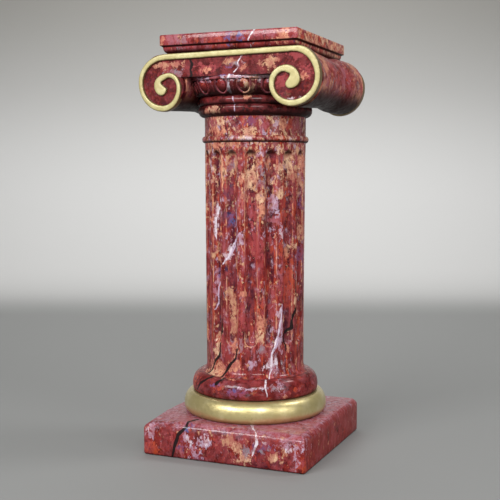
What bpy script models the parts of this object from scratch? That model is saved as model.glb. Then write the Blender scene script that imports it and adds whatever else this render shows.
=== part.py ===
"""A column plant stand: square base, fluted shaft and capital with four scrolls.

Cast plaster in three sections, stacked on one vertical axis. The front faces -Y.
Units are metres, the stand rests on z = 0.
"""
import math

import bmesh
import bpy
from mathutils import Matrix

# Overall
JOINT_GAP = 0.0003
ROUND_STEPS = 40
SHARP_ANGLE = math.radians(38)
# How far two shapes of one casting run into each other
SINK = 0.0060

# Base section
PLINTH_WIDTH = 0.3015
PLINTH_HEIGHT = 0.0630
PLINTH_TOP_ROUND = 0.0135
PLINTH_CORNER_ROUND = 0.0030
PLINTH_FOOT_ROUND = 0.0030
PLINTH_ROUND_STEPS = 4
RING_HEIGHT = 0.0380
RING_SWELL = 0.0320
RING_SHOULDER = 0.0155
RING_FOOT_TUCK = 0.0090
RING_LOW_PART = 0.0130
RING_STEPS = 5
TORUS_HEIGHT = 0.0355
TORUS_SWELL = 0.0165
TORUS_FOOT_TUCK = 0.0035
TORUS_LOW_PART = 0.0100
TORUS_STEPS = 4
UNDER_STEPS = 2

# Shaft section
SHAFT_HEIGHT = 0.4552
SHAFT_FOOT_RADIUS = 0.0882
SHAFT_TOP_RADIUS = 0.0907
FLARE_REACH = 0.0095
FLARE_HEIGHT = 0.0130
FLARE_STEPS = 4
ASTRAGAL_DROP = 0.0390
ASTRAGAL_HEIGHT = 0.0120
ASTRAGAL_REACH = 0.0050
ASTRAGAL_STEPS = 6
FLUTE_COUNT = 16
FLUTE_FILLET = 0.0132
FLUTE_DEPTH = 0.0085
FLUTE_TURN = math.radians(-4.8)
FLUTE_FOOT_MARGIN = 0.0420
FLUTE_TOP_MARGIN = 0.0140
FLUTE_SIDES = 10
FLUTE_END_STEPS = 3

# Capital section, from its foot up
COLLAR_HEIGHT = 0.0177
COLLAR_REACH = 0.0113
COLLAR_FOOT_REACH = 0.0010
COLLAR_CROWN = 0.35
COLLAR_STEPS = 3
BEAD_HEIGHT = 0.0155
BEAD_REACH = 0.0125
GROOVE_REACH = 0.0075
GROOVE_HEIGHT = 0.0012
GROOVE_LIP = 0.0012
BAND_STEPS = 4
EGG_BAND_HEIGHT = 0.0315
EGG_BAND_SET_BACK = 0.0048
CHANNEL_HEIGHT = 0.0427
UNDER_MOULD_HEIGHT = 0.0113
UNDER_MOULD_SET_IN = 0.0095
UNDER_MOULD_STEPS = 4
ABACUS_HEIGHT = 0.0190
ABACUS_WIDTH = 0.2520
ABACUS_EDGE_ROUND = 0.0035
ABACUS_GROOVE = 0.0020

# Eggs and darts of the band under the channel
EGG_SPACING = math.radians(20.0)
EGG_TURN = math.radians(-6.7)
EGGS_PER_SIDE = 5
EGG_WIDTH = 0.0160
EGG_TALL = 0.0250
EGG_PROUD = 0.0042
EGG_RINGS = (8, 5)
SHELL_THICK = 0.0034
SHELL_CLEARANCE = 0.0030
SHELL_STEPS = 5
DART_WIDTH = 0.0050
DART_TALL = 0.0230
DART_PROUD = 0.0036
DART_RINGS = (6, 4)

# Scrolls and the bolsters between them
FACE_DEPTH = 0.1240
FACE_PLATE_THICK = 0.0140
# Shares of the face plate's thickness by which other shapes stop short of its face or enter it
BOLSTER_STOP = 0.6
BLOCK_STOP = 0.3
BAND_ROOT = 0.8
SCROLL_PROUD = 0.0060
PLATE_SET_IN = 0.0040
SCROLL_CENTRE_OUT = 0.1180
SCROLL_BAND_MIDDLE = 0.0085
# Share of the band's height by which the channel block ends below the band's top
BLOCK_DROP = 1 / 3
BOLSTER_STEPS = 24
BOLSTER_END_RADIUS = 0.0485
BOLSTER_WAIST_RADIUS = 0.0435
BOLSTER_WAIST_Y = 0.0150
BOLSTER_WAIST_LIFT = 0.0015
BOLSTER_SHIFT = 0.0048
BOLSTER_WIDTH_SHARE = 0.9
# Fullness of a bolster, 0 at its waist and 1 at its ends, at shares of its half length
BOLSTER_FRONT = [(-1.00, 1.00), (-0.80, 0.88), (-0.42, 0.45)]
BOLSTER_BACK = [(0.30, 0.35), (0.52, 0.90), (0.75, 1.00), (1.00, 1.00)]
ARC_SEGMENTS = 5

# Outer edge of a scroll: turning points as (across, up) from the scroll's centre,
# the centre being SCROLL_CENTRE_OUT from the axis and level with the scroll's right edge
SCROLL_TOP_RISE = 0.0497
SCROLL_OUTER_TURNS = [
    (-0.0010, SCROLL_TOP_RISE), (0.0488, 0.0000), (0.0005, -0.0487), (-0.0400, -0.0093),
    (-0.0096, 0.0174), (0.0160, -0.0045), (0.0004, -0.0212), (-0.0097, -0.0105),
]
SCROLL_NOTCH = (-0.0038, 0.0010)
SCROLL_INNER_TURNS = [
    (-0.0105, 0.0064), (-0.0296, -0.0090), (0.0005, -0.0367), (0.0394, 0.0000),
    (-0.0040, 0.0365),
]

# Levels
RING_FOOT_Z = PLINTH_HEIGHT
TORUS_FOOT_Z = RING_FOOT_Z + RING_HEIGHT
BASE_TOP_Z = TORUS_FOOT_Z + TORUS_HEIGHT
SHAFT_FOOT_Z = BASE_TOP_Z + JOINT_GAP
SHAFT_TOP_Z = SHAFT_FOOT_Z + SHAFT_HEIGHT
CAPITAL_FOOT_Z = SHAFT_TOP_Z + JOINT_GAP
BEAD_FOOT_Z = CAPITAL_FOOT_Z + COLLAR_HEIGHT
EGG_FOOT_Z = BEAD_FOOT_Z + BEAD_HEIGHT
CHANNEL_FOOT_Z = EGG_FOOT_Z + EGG_BAND_HEIGHT
CHANNEL_TOP_Z = CHANNEL_FOOT_Z + CHANNEL_HEIGHT
ABACUS_FOOT_Z = CHANNEL_TOP_Z + UNDER_MOULD_HEIGHT
TOP_Z = ABACUS_FOOT_Z + ABACUS_HEIGHT
SCROLL_CENTRE_Z = CHANNEL_TOP_Z - SCROLL_TOP_RISE

# Radii that neighbouring sections share
BASE_TOP_RADIUS = SHAFT_FOOT_RADIUS + FLARE_REACH
NECK_RADIUS = SHAFT_TOP_RADIUS
TORUS_FOOT_RADIUS = BASE_TOP_RADIUS + TORUS_SWELL - TORUS_FOOT_TUCK
RING_RADIUS = BASE_TOP_RADIUS + RING_SWELL
EGG_BAND_RADIUS = FACE_DEPTH - EGG_BAND_SET_BACK


def clear_scene():
    for old in list(bpy.data.objects):
        bpy.data.objects.remove(old, do_unlink=True)


def new_collection(name):
    group = bpy.data.collections.new(name)
    bpy.context.scene.collection.children.link(group)
    return group


def new_material(name, colour, roughness, metallic):
    made = bpy.data.materials.new(name)
    made.use_nodes = True
    shader = made.node_tree.nodes["Principled BSDF"]
    shader.inputs["Base Color"].default_value = (*colour, 1.0)
    shader.inputs["Roughness"].default_value = roughness
    shader.inputs["Metallic"].default_value = metallic
    made.diffuse_color = (*colour, 1.0)
    return made


def add_object(name, data, group, paint):
    made = bpy.data.objects.new(name, data)
    group.objects.link(made)
    if not data.materials:
        data.materials.append(paint)
    return made


def as_helper(thing):
    """Marks a shape that is only joined to, or cut from, a section."""
    thing.hide_render = True
    thing.display_type = "WIRE"
    return thing


def evaluated_mesh(thing):
    bpy.context.view_layer.update()
    graph = bpy.context.evaluated_depsgraph_get()
    return bpy.data.meshes.new_from_object(thing.evaluated_get(graph))


def turned(name, profile, steps, group, paint):
    """Turns (radius, height) points about Z; the profile runs from the top down."""
    mesh = bpy.data.meshes.new(name)
    points = [(radius, 0.0, height) for radius, height in profile]
    mesh.from_pydata(points, [(i, i + 1) for i in range(len(points) - 1)], [])
    made = add_object(name, mesh, group, paint)
    screw = made.modifiers.new("Turn", "SCREW")
    screw.axis = "Z"
    screw.angle = math.tau
    screw.steps = steps
    screw.render_steps = steps
    screw.use_merge_vertices = True
    screw.merge_threshold = 0.00001
    return made


def flat_outline(name, points, thickness, group, paint):
    """A plate with the (across, up) outline, standing in the XZ plane."""
    curve = bpy.data.curves.new(name, "CURVE")
    curve.dimensions = "2D"
    curve.fill_mode = "BOTH"
    curve.extrude = thickness / 2
    spline = curve.splines.new("POLY")
    spline.points.add(len(points) - 1)
    for point, (across, up) in zip(spline.points, points):
        point.co = (across, up, 0.0, 1.0)
    spline.use_cyclic_u = True
    drawn = bpy.data.objects.new(name + "_outline", curve)
    group.objects.link(drawn)
    drawn.rotation_euler = (math.pi / 2, 0.0, 0.0)
    mesh = evaluated_mesh(drawn)
    mesh.transform(drawn.matrix_world)
    bpy.data.objects.remove(drawn)
    return add_object(name, welded(mesh), group, paint)


def tube(name, points, thickness, group, paint):
    """A round bar along the points, with filled ends."""
    curve = bpy.data.curves.new(name, "CURVE")
    curve.dimensions = "3D"
    curve.bevel_depth = thickness / 2
    curve.bevel_resolution = 0
    curve.use_fill_caps = True
    spline = curve.splines.new("POLY")
    spline.points.add(len(points) - 1)
    for point, place in zip(spline.points, points):
        point.co = (*place, 1.0)
    drawn = bpy.data.objects.new(name + "_path", curve)
    group.objects.link(drawn)
    mesh = evaluated_mesh(drawn)
    bpy.data.objects.remove(drawn)
    return add_object(name, welded(mesh), group, paint)


def welded(mesh):
    shape = bmesh.new()
    shape.from_mesh(mesh)
    bmesh.ops.remove_doubles(shape, verts=shape.verts, dist=0.00001)
    bmesh.ops.recalc_face_normals(shape, faces=shape.faces)
    shape.to_mesh(mesh)
    shape.free()
    return mesh


def boolean(target, other, operation, solver="EXACT"):
    step = target.modifiers.new(operation.title() + " " + other.name, "BOOLEAN")
    step.operation = operation
    step.solver = solver
    step.material_mode = "TRANSFER"
    step.object = as_helper(other)


def smooth(thing):
    thing.data.shade_smooth()
    thing.data.set_sharp_from_angle(angle=SHARP_ANGLE)


def half_ellipse(radius, reach, foot, height, low_part, foot_tuck, steps):
    """A convex moulding: fullest low down, tucked in at its foot; from the top down."""
    widest = foot + low_part
    points = []
    for i in range(steps + 1):
        turn = math.pi / 2 * (1 - i / steps)
        points.append((radius + reach * math.cos(turn),
                       widest + (height - low_part) * math.sin(turn)))
    for i in range(1, UNDER_STEPS + 1):
        turn = math.pi / 2 * i / UNDER_STEPS
        points.append((radius + reach - foot_tuck * (1 - math.cos(turn)),
                       widest - low_part * math.sin(turn)))
    return points


def quarter_arc(start, end, leaves_sideways, segments=ARC_SEGMENTS):
    """Points after start, up to end, on a quarter of an ellipse."""
    points = []
    for i in range(1, segments + 1):
        turn = math.pi / 2 * i / segments
        if leaves_sideways:
            across = start[0] + (end[0] - start[0]) * math.sin(turn)
            up = end[1] + (start[1] - end[1]) * math.cos(turn)
        else:
            across = end[0] + (start[0] - end[0]) * math.cos(turn)
            up = start[1] + (end[1] - start[1]) * math.sin(turn)
        points.append((across, up))
    return points


def arc_chain(turns, leaves_sideways):
    """Quarter arcs through turning points, each leaving square to the last."""
    points = [turns[0]]
    for start, end in zip(turns, turns[1:]):
        points += quarter_arc(start, end, leaves_sideways)
        leaves_sideways = not leaves_sideways
    return points


def placed_scroll(points):
    return [(SCROLL_CENTRE_OUT + across, SCROLL_CENTRE_Z + up) for across, up in points]


def mirrored(points):
    return [(-across, up) for across, up in reversed(points)]


def scroll_band_outline():
    """The raised band: along the top of the channel and coiled at both ends."""
    outer = placed_scroll(arc_chain(SCROLL_OUTER_TURNS, True))
    notch = placed_scroll([SCROLL_NOTCH])
    inner = placed_scroll(arc_chain(SCROLL_INNER_TURNS, True))
    middle = [(0.0, CHANNEL_TOP_Z - SCROLL_BAND_MIDDLE)]
    under_side = notch + inner + middle
    return outer + under_side + mirrored(outer + under_side[:-1])


def set_in(point):
    """A turning point of the scroll moved in, so that it lies under the band."""
    across, up = point
    if abs(up) > abs(across):
        return (across, up - math.copysign(PLATE_SET_IN, up))
    return (across - math.copysign(PLATE_SET_IN, across), up)


def face_plate_outline():
    """The channel's face with a scroll's disc at each end; its edge lies in the band."""
    turns = [set_in(point) for point in SCROLL_OUTER_TURNS[:4]]
    turns.append(SCROLL_OUTER_TURNS[4])
    edge = placed_scroll(arc_chain(turns, True))
    lowest = 2 * ARC_SEGMENTS
    kept = edge[:lowest] + [point for point in edge[lowest:] if point[1] < CHANNEL_FOOT_Z]
    kept.append((kept[-1][0] + PLATE_SET_IN, CHANNEL_FOOT_Z))
    return kept + mirrored(kept)


def make_base(group, helpers, paint, gilding):
    plinth_mesh = bpy.data.meshes.new("plinth_block")
    shape = bmesh.new()
    bmesh.ops.create_cube(shape, size=1.0)
    bmesh.ops.scale(shape, verts=shape.verts,
                    vec=(PLINTH_WIDTH, PLINTH_WIDTH, PLINTH_HEIGHT))
    bmesh.ops.translate(shape, verts=shape.verts, vec=(0.0, 0.0, PLINTH_HEIGHT / 2))
    for level, radius, steps in ((PLINTH_HEIGHT, PLINTH_TOP_ROUND, PLINTH_ROUND_STEPS),
                                 (0.0, PLINTH_FOOT_ROUND, 1)):
        rim = [e for e in shape.edges
               if all(abs(v.co.z - level) < JOINT_GAP for v in e.verts)]
        bmesh.ops.bevel(shape, geom=rim, offset=radius, segments=steps,
                        profile=0.5, affect="EDGES")
    corner = [e for e in shape.edges
              if all(abs(abs(v.co.x) - abs(v.co.y)) < JOINT_GAP
                     and JOINT_GAP < v.co.z < PLINTH_HEIGHT - JOINT_GAP for v in e.verts)]
    bmesh.ops.bevel(shape, geom=corner, offset=PLINTH_CORNER_ROUND, segments=1,
                    profile=0.5, affect="EDGES")
    shape.to_mesh(plinth_mesh)
    shape.free()
    plinth = add_object("plinth_block", plinth_mesh, helpers, paint)

    torus = half_ellipse(BASE_TOP_RADIUS, TORUS_SWELL, TORUS_FOOT_Z, TORUS_HEIGHT,
                         TORUS_LOW_PART, TORUS_FOOT_TUCK, TORUS_STEPS)
    base = turned("base", [(0.0, BASE_TOP_Z)] + torus
                  + [(TORUS_FOOT_RADIUS, TORUS_FOOT_Z - SINK), (0.0, TORUS_FOOT_Z - SINK)],
                  ROUND_STEPS, group, paint)

    shoulder = RING_RADIUS - RING_SHOULDER
    ring_profile = half_ellipse(shoulder, RING_SHOULDER, RING_FOOT_Z, RING_HEIGHT,
                                RING_LOW_PART, RING_FOOT_TUCK, RING_STEPS)
    foot_radius = RING_RADIUS - RING_FOOT_TUCK
    ring = turned("gilded_ring_turning", [(0.0, TORUS_FOOT_Z)] + ring_profile
                  + [(foot_radius, RING_FOOT_Z - SINK), (0.0, RING_FOOT_Z - SINK)],
                  ROUND_STEPS, helpers, gilding)
    boolean(base, ring, "UNION")
    boolean(base, plinth, "UNION")
    smooth(base)
    return base


def make_shaft(group, helpers, paint):
    astragal_z = SHAFT_TOP_Z - ASTRAGAL_DROP
    flare_top = SHAFT_FOOT_Z + FLARE_HEIGHT
    profile = [(0.0, SHAFT_TOP_Z), (SHAFT_TOP_RADIUS, SHAFT_TOP_Z)]
    for i in range(ASTRAGAL_STEPS + 1):
        turn = math.pi * (0.5 - i / ASTRAGAL_STEPS)
        profile.append((SHAFT_TOP_RADIUS + ASTRAGAL_REACH * math.cos(turn),
                        astragal_z + ASTRAGAL_HEIGHT / 2 * math.sin(turn)))
    profile.append((SHAFT_FOOT_RADIUS, flare_top))
    for i in range(1, FLARE_STEPS + 1):
        turn = math.pi / 2 * i / FLARE_STEPS
        profile.append((SHAFT_FOOT_RADIUS + FLARE_REACH * (1 - math.cos(turn)),
                        flare_top - FLARE_HEIGHT * math.sin(turn)))
    profile.append((0.0, SHAFT_FOOT_Z))
    shaft = turned("shaft", profile, ROUND_STEPS, group, paint)

    flute_foot = SHAFT_FOOT_Z + FLARE_HEIGHT + FLUTE_FOOT_MARGIN
    flute_top = astragal_z - ASTRAGAL_HEIGHT / 2 - FLUTE_TOP_MARGIN
    mean_radius = (SHAFT_FOOT_RADIUS + SHAFT_TOP_RADIUS) / 2
    half_width = math.pi * mean_radius / FLUTE_COUNT - FLUTE_FILLET / 2
    cut_radius = (half_width ** 2 + FLUTE_DEPTH ** 2) / (2 * FLUTE_DEPTH)
    straight = (flute_top - flute_foot) / 2 - half_width
    ends = [math.pi / 2 * i / FLUTE_END_STEPS for i in range(FLUTE_END_STEPS + 1)]
    cut_profile = [(cut_radius * math.sin(a), straight + cut_radius * math.cos(a))
                   for a in ends]
    cut_profile += [(radius, -height) for radius, height in reversed(cut_profile)]
    cut_profile[0] = (0.0, cut_profile[0][1])
    cut_profile[-1] = (0.0, cut_profile[-1][1])
    lean = math.atan((SHAFT_TOP_RADIUS - SHAFT_FOOT_RADIUS) / (astragal_z - flare_top))
    middle_z = (flute_foot + flute_top) / 2
    share = (middle_z - flare_top) / (astragal_z - flare_top)
    surface = SHAFT_FOOT_RADIUS + share * (SHAFT_TOP_RADIUS - SHAFT_FOOT_RADIUS)
    out = surface + cut_radius - FLUTE_DEPTH
    for i in range(FLUTE_COUNT):
        around = FLUTE_TURN + math.tau * i / FLUTE_COUNT
        cutter = turned(f"flute_cutter_{i + 1}", cut_profile, FLUTE_SIDES, helpers, paint)
        cutter.location = (out * math.sin(around), -out * math.cos(around), middle_z)
        cutter.rotation_euler = (Matrix.Rotation(around, 3, "Z")
                                 @ Matrix.Rotation(lean, 3, "X")).to_euler()
        boolean(shaft, cutter, "DIFFERENCE")
    smooth(shaft)
    return shaft


def band_radius(drop):
    """Radius of the egg band at a drop below the channel, before its carving."""
    share = min(drop / (EGG_BAND_HEIGHT - GROOVE_HEIGHT), 1.0)
    bulge = math.cos(math.asin(share))
    groove = NECK_RADIUS + GROOVE_REACH
    return groove + (EGG_BAND_RADIUS - groove) * bulge


def echinus_profile():
    """Round part of the capital, from inside the channel block down to its foot."""
    groove = NECK_RADIUS + GROOVE_REACH
    points = [(0.0, CHANNEL_FOOT_Z + 2 * SINK), (band_radius(0.0), CHANNEL_FOOT_Z + 2 * SINK)]
    for i in range(BAND_STEPS + 1):
        drop = (EGG_BAND_HEIGHT - GROOVE_HEIGHT) * math.sin(math.pi / 2 * i / BAND_STEPS)
        points.append((band_radius(drop), CHANNEL_FOOT_Z - drop))
    bead_half = (BEAD_HEIGHT - GROOVE_HEIGHT) / 2
    for i in range(BAND_STEPS + 1):
        turn = math.pi * (0.5 - i / BAND_STEPS)
        points.append((groove + (BEAD_REACH - GROOVE_REACH) * math.cos(turn),
                       EGG_FOOT_Z - bead_half * (1 - math.sin(turn))))
    crown = BEAD_FOOT_Z - COLLAR_HEIGHT * COLLAR_CROWN
    points.append((groove, BEAD_FOOT_Z))
    points.append((NECK_RADIUS + COLLAR_REACH - GROOVE_LIP, BEAD_FOOT_Z - GROOVE_LIP))
    points.append((NECK_RADIUS + COLLAR_REACH, crown))
    for i in range(1, COLLAR_STEPS + 1):
        turn = math.pi / 2 * i / COLLAR_STEPS
        reach = COLLAR_FOOT_REACH + (COLLAR_REACH - COLLAR_FOOT_REACH) * math.cos(turn)
        points.append((NECK_RADIUS + reach,
                       CAPITAL_FOOT_Z + (crown - CAPITAL_FOOT_Z) * (1 - math.sin(turn))))
    points.append((0.0, CAPITAL_FOOT_Z))
    return points


def drop_shape(name, size, rings, place, helpers, paint):
    """A small rounded body, half sunk in the band."""
    mesh = bpy.data.meshes.new(name)
    shape = bmesh.new()
    bmesh.ops.create_uvsphere(shape, u_segments=rings[0], v_segments=rings[1], radius=0.5)
    bmesh.ops.scale(shape, verts=shape.verts, vec=size)
    shape.to_mesh(mesh)
    shape.free()
    made = add_object(name, mesh, helpers, paint)
    made.matrix_world = place
    return made


def add_eggs(capital, helpers, paint):
    """Eggs, their shells and the darts between them, on the band's sloping face."""
    upper = EGG_BAND_HEIGHT / 2 - EGG_TALL / 2
    lower = upper + EGG_TALL
    slope = math.atan((band_radius(upper) - band_radius(lower)) / EGG_TALL)
    middle_z = CHANNEL_FOOT_Z - EGG_BAND_HEIGHT / 2
    middle_out = band_radius(EGG_BAND_HEIGHT / 2)
    lean = Matrix.Rotation(slope, 4, "X")
    shell_half = EGG_WIDTH / 2 + SHELL_CLEARANCE
    shell_centre = EGG_TALL / 2 + SHELL_CLEARANCE - SHELL_THICK / 2
    shell_top = EGG_BAND_HEIGHT / 2
    shell_path = [(-shell_half, 0.0, shell_top)]
    for i in range(SHELL_STEPS + 1):
        turn = math.pi * i / SHELL_STEPS
        shell_path.append((-shell_half * math.cos(turn), 0.0,
                           -shell_centre * math.sin(turn)))
    shell_path.append((shell_half, 0.0, shell_top))
    for side, facing in (("front", 0.0), ("back", math.pi)):
        first = facing + EGG_TURN - EGG_SPACING * (EGGS_PER_SIDE - 1) / 2
        for i in range(2 * EGGS_PER_SIDE - 1):
            around = first + EGG_SPACING * i / 2
            place = (Matrix.Rotation(around, 4, "Z")
                     @ Matrix.Translation((0.0, -middle_out, middle_z)) @ lean)
            if i % 2 == 1:
                dart = drop_shape(f"dart_{side}_{i // 2 + 1}",
                                  (DART_WIDTH, 2 * DART_PROUD, DART_TALL), DART_RINGS,
                                  place, helpers, paint)
                boolean(capital, dart, "UNION", "MANIFOLD")
                continue
            label = f"{side}_{i // 2 + 1}"
            egg = drop_shape("egg_" + label, (EGG_WIDTH, 2 * EGG_PROUD, EGG_TALL),
                             EGG_RINGS, place, helpers, paint)
            boolean(capital, egg, "UNION", "MANIFOLD")
            shell = tube("shell_" + label, shell_path, SHELL_THICK, helpers, paint)
            shell.matrix_world = place
            boolean(capital, shell, "UNION", "MANIFOLD")


def make_bolster(name, side, helpers, paint):
    """A bolster lying front to back, narrowest a little behind its middle."""
    end = FACE_DEPTH - FACE_PLATE_THICK * BOLSTER_STOP
    waist = BOLSTER_WAIST_RADIUS
    swell = BOLSTER_END_RADIUS - waist
    stations = [(place * end, fullness) for place, fullness in BOLSTER_FRONT]
    stations.append((BOLSTER_WAIST_Y, 0.0))
    stations += [(place * end, fullness) for place, fullness in BOLSTER_BACK]
    profile = [(0.0, end)]
    profile += [(waist + swell * fullness, y) for y, fullness in reversed(stations)]
    profile.append((0.0, -end))
    spun = turned(name + "_spin", profile, BOLSTER_STEPS, helpers, paint)
    mesh = welded(evaluated_mesh(spun))
    bpy.data.objects.remove(spun)
    mesh.transform(Matrix.Rotation(-math.pi / 2, 4, "X"))
    mesh.transform(Matrix.Scale(BOLSTER_WIDTH_SHARE, 4, (1.0, 0.0, 0.0)))
    for vertex in mesh.vertices:
        y, fullness = min(stations, key=lambda station: abs(station[0] - vertex.co.y))
        vertex.co.z += BOLSTER_WAIST_LIFT * (1.0 - fullness)
    centre = side * (SCROLL_CENTRE_OUT + BOLSTER_SHIFT)
    mesh.transform(Matrix.Translation((centre, 0.0, SCROLL_CENTRE_Z)))
    return add_object(name, welded(mesh), helpers, paint)


def make_channel_block(helpers, paint):
    """The plain block between the scrolls, from the egg band up into the abacus."""
    mesh = bpy.data.meshes.new("channel_block")
    shape = bmesh.new()
    bmesh.ops.create_cube(shape, size=1.0)
    width = 2 * (SCROLL_CENTRE_OUT - FACE_PLATE_THICK / 2)
    depth = 2 * (FACE_DEPTH - FACE_PLATE_THICK * BLOCK_STOP)
    foot = CHANNEL_FOOT_Z + JOINT_GAP
    top = CHANNEL_TOP_Z - SCROLL_BAND_MIDDLE * BLOCK_DROP
    bmesh.ops.scale(shape, verts=shape.verts, vec=(width, depth, top - foot))
    bmesh.ops.translate(shape, verts=shape.verts, vec=(0.0, 0.0, (top + foot) / 2))
    shape.to_mesh(mesh)
    shape.free()
    return add_object("channel_block", mesh, helpers, paint)


def make_capital(group, helpers, paint, gilding):
    capital = turned("capital", echinus_profile(), ROUND_STEPS, group, paint)
    add_eggs(capital, helpers, paint)
    for name, side in (("left_bolster", -1), ("right_bolster", 1)):
        boolean(capital, make_bolster(name, side, helpers, paint), "UNION")
    boolean(capital, make_channel_block(helpers, paint), "UNION")
    for label, facing in (("front", -1), ("back", 1)):
        plate = flat_outline("face_plate_" + label, face_plate_outline(),
                             FACE_PLATE_THICK, helpers, paint)
        plate.location.y = facing * (FACE_DEPTH - FACE_PLATE_THICK / 2)
        boolean(capital, plate, "UNION")
    boolean(capital, make_abacus(helpers, paint), "UNION")
    for label, facing in (("front", -1), ("back", 1)):
        band_thick = FACE_PLATE_THICK * BAND_ROOT + SCROLL_PROUD
        band = flat_outline("scroll_band_" + label, scroll_band_outline(),
                            band_thick, helpers, gilding)
        band.location.y = facing * (FACE_DEPTH + SCROLL_PROUD - band_thick / 2)
        boolean(capital, band, "UNION")
    weld = capital.modifiers.new("Close hairlines", "WELD")
    weld.merge_threshold = 0.00002
    smooth(capital)
    return capital


def make_abacus(helpers, paint):
    """Square slab over a small round moulding; four turned steps make a square."""
    half = ABACUS_WIDTH / 2
    under = half - UNDER_MOULD_SET_IN
    soft = ABACUS_EDGE_ROUND
    edge_radius = soft * math.cos(math.pi / 4)
    points = [(0.0, TOP_Z), (half - soft, TOP_Z)]
    points += [(half - soft + edge_radius, TOP_Z - soft + edge_radius)]
    points += [(half, TOP_Z - soft), (half, ABACUS_FOOT_Z + ABACUS_GROOVE)]
    points += [(half - ABACUS_GROOVE, ABACUS_FOOT_Z)]
    bulge = half - 2 * ABACUS_GROOVE - under
    drop = ABACUS_FOOT_Z - ABACUS_GROOVE / 2 - CHANNEL_TOP_Z
    for i in range(UNDER_MOULD_STEPS + 1):
        turn = math.pi / 2 * i / UNDER_MOULD_STEPS
        points.append((under + bulge * math.cos(turn),
                       CHANNEL_TOP_Z + drop * (1 - math.sin(turn))))
    points += [(under, CHANNEL_TOP_Z - 2 * SINK)]
    points += [(0.0, CHANNEL_TOP_Z - 2 * SINK)]
    corner = math.sqrt(2)
    profile = [(across * corner, up) for across, up in points]
    abacus = turned("abacus_slab", profile, 4, helpers, paint)
    abacus.rotation_euler = (0.0, 0.0, math.pi / 4)
    return abacus


def main():
    clear_scene()
    stand = new_collection("column plant stand")
    helpers = new_collection("cutters")
    marble = new_material("red marble paint", (0.30, 0.05, 0.05), 0.22, 0.0)
    gold = new_material("gold paint", (0.72, 0.60, 0.30), 0.35, 0.6)
    make_base(stand, helpers, marble, gold)
    make_shaft(stand, helpers, marble)
    make_capital(stand, helpers, marble, gold)


main()
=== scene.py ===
"""Looks of the column plant stand: cast plaster, marbled by hand, varnished and gilded."""
import math

import bpy
from mathutils import Matrix, Vector

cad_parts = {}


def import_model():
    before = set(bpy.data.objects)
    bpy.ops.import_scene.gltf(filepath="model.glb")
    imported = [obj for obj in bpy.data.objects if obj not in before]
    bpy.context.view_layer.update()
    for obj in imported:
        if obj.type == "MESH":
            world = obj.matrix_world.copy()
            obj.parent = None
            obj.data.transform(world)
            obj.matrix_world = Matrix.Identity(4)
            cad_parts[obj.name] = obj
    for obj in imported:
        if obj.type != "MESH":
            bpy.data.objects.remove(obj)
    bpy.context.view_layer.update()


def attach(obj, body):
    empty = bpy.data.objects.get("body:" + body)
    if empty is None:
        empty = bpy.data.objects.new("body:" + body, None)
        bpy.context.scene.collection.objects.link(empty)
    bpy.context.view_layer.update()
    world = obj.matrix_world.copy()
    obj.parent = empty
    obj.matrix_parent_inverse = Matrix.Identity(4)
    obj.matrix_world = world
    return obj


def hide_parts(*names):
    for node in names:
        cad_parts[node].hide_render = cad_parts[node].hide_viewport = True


MM = 0.001

# Points closer than this are merged, in millimetres
MERGE_GAP = 0.01

# The photograph's camera: place in metres, turn and tilt in degrees
CAMERA_PLACE = (0.6635, -1.5909, 0.4972)
CAMERA_TURN = 22.96
CAMERA_TILT = 4.74
CAMERA_LENS = 68.5
SENSOR_WIDTH = 36.0

# Base, in millimetres; each ring runs down RING_SEAT into what it stands on
PLINTH_HALF = 150.75
PLINTH_TOP = 63.0
PLINTH_ROUND = 13.5
PLINTH_FOOT = 3.0
PLINTH_ARRIS = 3.5
CORNER_WEAR = 7.0
CORNER_WEAR_REACH = 34.0
RING_TOP = 101.0
RING_RADIUS = 129.7
RING_SHOULDER = 15.5
RING_LOW = 13.0
RING_TUCK = 9.0
TORUS_TOP = 136.5
TORUS_TOP_RADIUS = 97.7
TORUS_SWELL = 16.5
TORUS_LOW = 10.0
TORUS_TUCK = 3.5
RING_SEAT = 4.0
RING_SIDES = 192

# Shaft
SHAFT_FOOT = 136.8
SHAFT_TOP = 592.0
FOOT_RADIUS = 88.2
TOP_RADIUS = 90.7
FLARE_REACH = 9.5
FLARE_TALL = 13.0
ASTRAGAL_LEVEL = 553.0
ASTRAGAL_HALF = 6.0
ASTRAGAL_REACH = 5.0
NECK_FOOT = 566.0
NECK_STEP = 7.0
FLUTES = 16
FLUTE_HALF = 10.95
FLUTE_DEPTH = 8.5
FLUTE_SOFTNESS = 0.6
FLUTE_LOW = 191.8
FLUTE_HIGH = 533.0
FLUTE_TURN = -4.8
COLUMNS_PER_FLUTE = 20
ROW_STEP = 3.0

# Capital
CAPITAL_FOOT = 592.3
COLLAR_RADIUS = 91.7
COLLAR_REACH = 10.3
COLLAR_TALL = 11.2
COLLAR_ROLL = [(102.0, 606.0), (101.6, 608.6), (100.0, 609.8), (98.4, 610.4)]
BEAD_FOOT = 610.0
BEAD_REACH = 5.0
EGG_FOOT = 625.5
FILLET = 1.2
BAND_ROOT = 98.2
BAND_REACH = 21.0
BAND_SIDES = 256
LIP_RADIUS = 124.6
LIP_TOP = 659.6
CHANNEL_FOOT = 657.0
CHANNEL_TOP = 699.7
ABACUS_FOOT = 711.0
ABACUS_TOP = 730.0
ABACUS_HALF = 126.0
ABACUS_SET_IN = 9.5
ABACUS_MOULDING = 5.5
ABACUS_SUNK = 12.0
ABACUS_ROUND = 3.2
FACE_DEPTH = 124.0
FACE_INSET = 4.0
BAND_PROUD = 5.4
BAND_MIDDLE = 8.5
PLATE_THICK = 14.0
GILDING_GRAIN = 1.3
GILDING_PASSES = 8
SCROLL_OUT = 118.0
SCROLL_LEVEL = 650.0
BLOCK_INSET = 7.0
BLOCK_SET_BACK = 4.2
BLOCK_CLEAR = 0.3

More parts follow.
